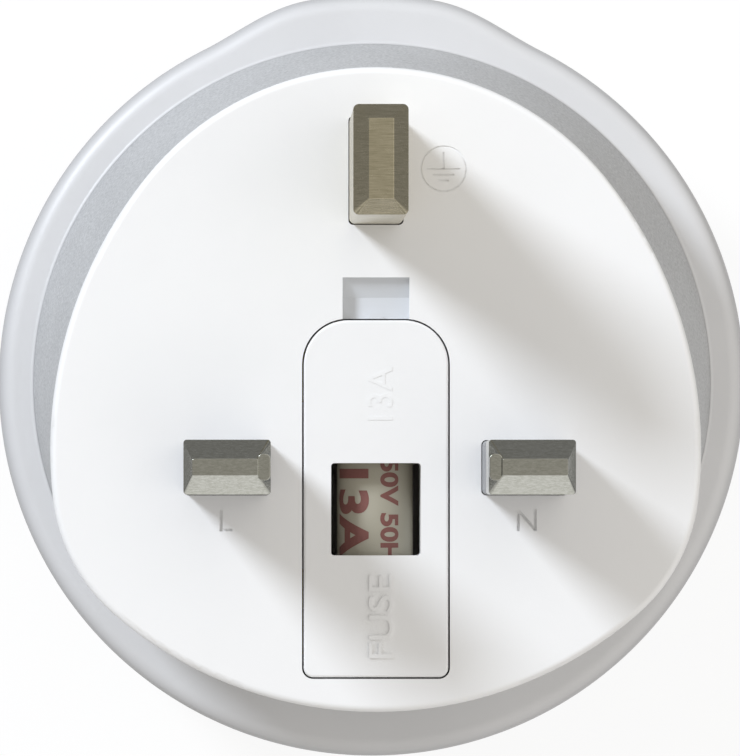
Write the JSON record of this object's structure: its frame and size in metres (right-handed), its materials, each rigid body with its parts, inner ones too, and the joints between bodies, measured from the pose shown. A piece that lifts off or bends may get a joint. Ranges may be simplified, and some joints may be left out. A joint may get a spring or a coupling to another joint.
{
  "type": "travel adapter",
  "caption": "Round earthed travel adapter: a recessed socket for a round two-pin plug on one end, three rectangular fused pins on the other.",
  "frame": {"origin": "centre of the socket's rim, on the housing's axis, where the adapter stands", "axes": "+Z along the plug pins, away from the socket; +Y towards the earth pin; the line pin is at -X"},
  "size_m": [0.0574, 0.0585, 0.0647],
  "materials": {
    "shell_white": "satin",
    "collar_grey": "spark-eroded texture",
    "face_white": "fine satin",
    "insert_white": "satin",
    "block_white": "satin",
    "shutter_white": "satin",
    "sleeve_grey": "satin",
    "nickel": "nickel plated, ground tips",
    "earth_nickel": "nickel plated, brushed tip",
    "bare_brass": "rolled strip",
    "spring_steel": "drawn wire",
    "fuse_ceramic": "matt glaze",
    "fuse_cap_nickel": "nickel plated"
  },
  "bodies": {
    "housing": {"outer_shell": "shell_white", "neck_collar": "collar_grey", "rear_cover": "face_white", "socket_cup": "insert_white", "contact_block": "block_white", "shutter_spring": "spring_steel", "line_contact": "bare_brass", "neutral_contact": "bare_brass", "line_busbar": "bare_brass", "fused_busbar": "bare_brass", "neutral_busbar": "bare_brass", "earth_strap": "nickel", "line_pin": "nickel", "neutral_pin": "nickel", "earth_pin": "earth_nickel", "line_pin_sleeve": "sleeve_grey", "neutral_pin_sleeve": "sleeve_grey", "fuse_clip_lower": "bare_brass", "fuse_clip_upper": "bare_brass"},
    "carrier": {"fuse_carrier": "face_white", "fuse_tube": "fuse_ceramic", "fuse_cap_lower": "fuse_cap_nickel", "fuse_cap_upper": "fuse_cap_nickel"},
    "shutter": {"shutter_slider": "shutter_white"}
  },
  "joints": [
    {"name": "carrier_pull", "type": "slide", "parent": "housing", "child": "carrier", "axis": [0, 0, 1], "range_m": [0, 0.012]},
    {"name": "shutter_slide", "type": "slide", "parent": "housing", "child": "shutter", "axis": [0, 1, 0], "range_m": [0, 0.00625], "stiffness_N_per_m": 120, "springref_m": -0.003, "deforming": ["shutter_spring"]}
  ]
}
